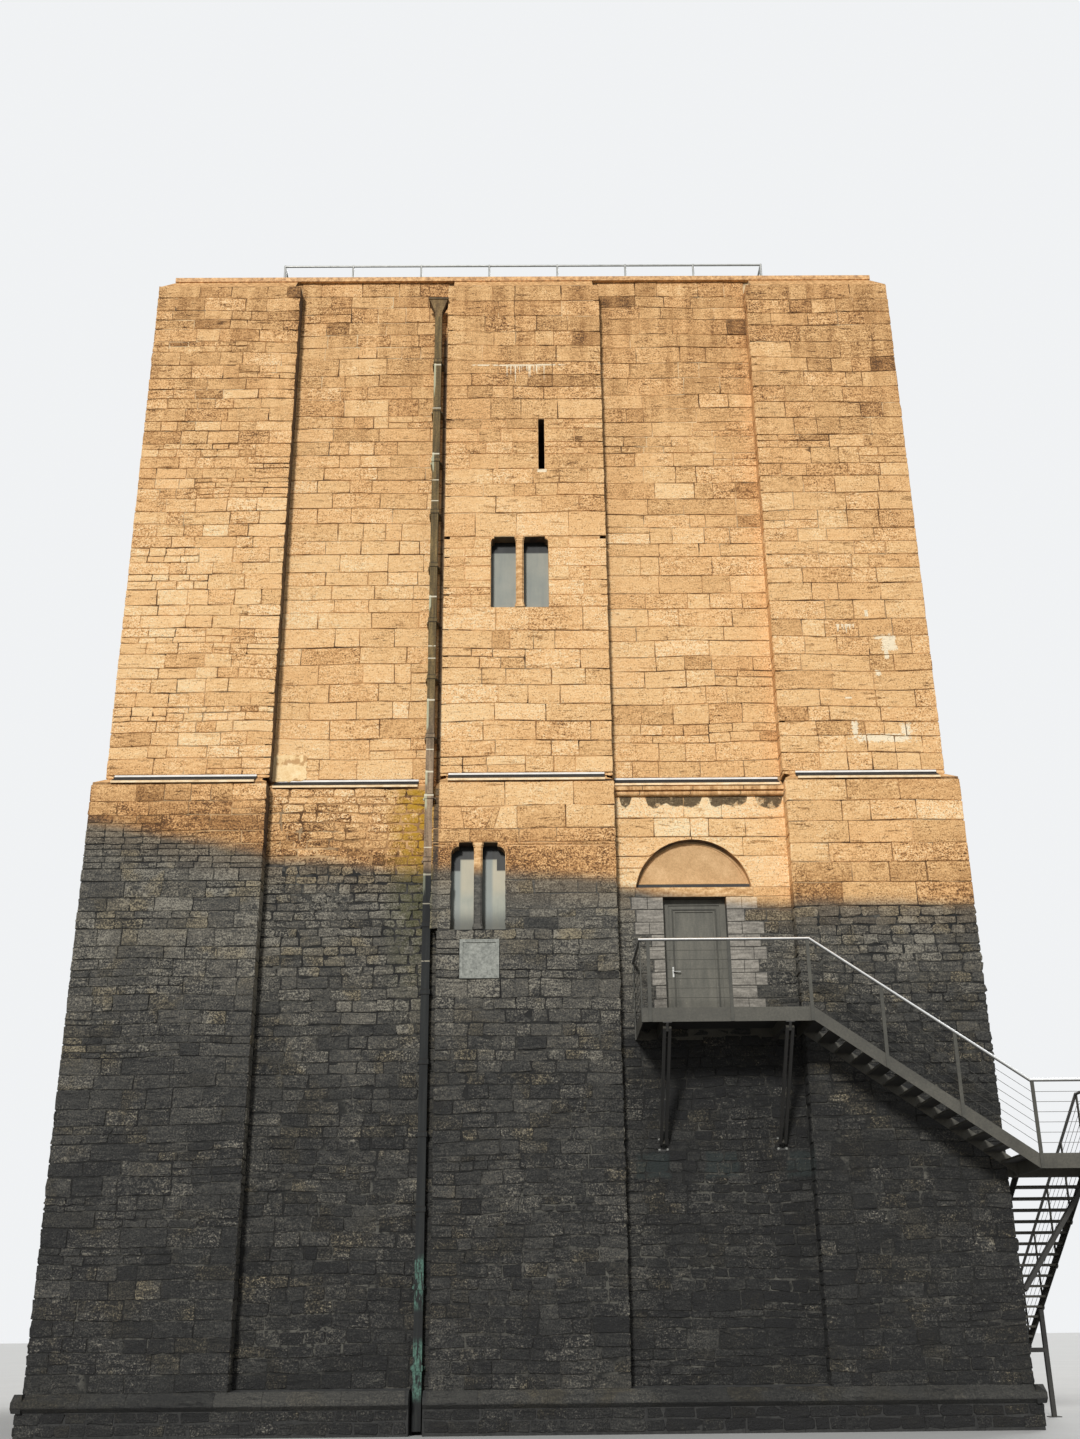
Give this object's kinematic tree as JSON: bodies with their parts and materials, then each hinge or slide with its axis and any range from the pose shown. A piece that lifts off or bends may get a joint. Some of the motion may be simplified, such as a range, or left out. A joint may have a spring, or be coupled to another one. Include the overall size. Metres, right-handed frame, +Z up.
{
  "type": "castle keep",
  "caption": "Square stone castle keep in two stages with flat pilasters, twin windows, an upper doorway and an outside steel stair.",
  "frame": {"origin": "middle of the tower's base, on the ground", "axes": "+Z up, -Y out of the side with the doorway, +X to the right seen from that side, where the lower flight of the stair runs"},
  "size_m": [18.17, 18.085, 24.58],
  "materials": {
    "upper_limestone": "coursed squared limestone, weathered",
    "bay_limestone": "coursed squared limestone, weathered",
    "lower_stone": "squared blocks and thin rubble, dark and weathered",
    "dressed_stone": "sawn pale dressings",
    "plinth_stone": "rubble with a moulded string",
    "paving": "flagged, matt",
    "floor_boards": "planed boards",
    "lead": "pale sheet metal",
    "pipe_metal": "dark, with green stains",
    "steel_paint": "satin paint",
    "stainless": "brushed",
    "door_paint": "satin paint",
    "glass": "clear"
  },
  "bodies": {
    "root": {"ground_floor": "paving", "front_plinth": "plinth_stone", "back_plinth": "plinth_stone", "left_plinth": "plinth_stone", "right_plinth": "plinth_stone", "plinth_ledges": "plinth_stone", "corner_front_left": "upper_limestone", "corner_front_right": "upper_limestone", "corner_back_left": "upper_limestone", "corner_back_right": "upper_limestone", "front_left_bay": "bay_limestone", "door_bay_below": "lower_stone", "door_bay_jambs": "dressed_stone", "door_bay_above": "bay_limestone", "front_pilaster": "upper_limestone", "front_window_jambs": "upper_limestone", "left_bays": "bay_limestone", "left_pilaster": "upper_limestone", "left_window_jambs": "upper_limestone", "right_bays": "bay_limestone", "right_pilaster": "upper_limestone", "right_window_jambs": "upper_limestone", "back_bays": "bay_limestone", "back_pilaster": "upper_limestone", "back_window_jambs": "upper_limestone", "door_floor": "floor_boards", "hall_floor": "floor_boards", "roof_deck": "floor_boards", "roof_covering": "lead", "door_lintel": "dressed_stone", "arch_panel": "dressed_stone", "door_frame": "door_paint", "door_leaf": "door_paint", "door_handle": "stainless", "string_course": "lower_stone", "pilaster_patch": "dressed_stone", "offset_flashings": "lead", "vent_cover": "pipe_metal", "rainwater_hopper": "pipe_metal", "downpipe": "pipe_metal", "window_glass": "glass", "roof_railing_front_back": "steel_paint", "roof_railing_sides": "steel_paint", "door_platform": "steel_paint", "platform_railing": "steel_paint", "upper_flight_treads": "steel_paint", "upper_flight_railing": "steel_paint", "corner_landing": "steel_paint", "landing_railing": "steel_paint", "stair_stringers": "steel_paint", "stair_struts": "steel_paint", "lower_flight_treads": "steel_paint", "lower_flight_railing": "steel_paint", "lower_flight_legs": "steel_paint"}
  },
  "joints": []
}
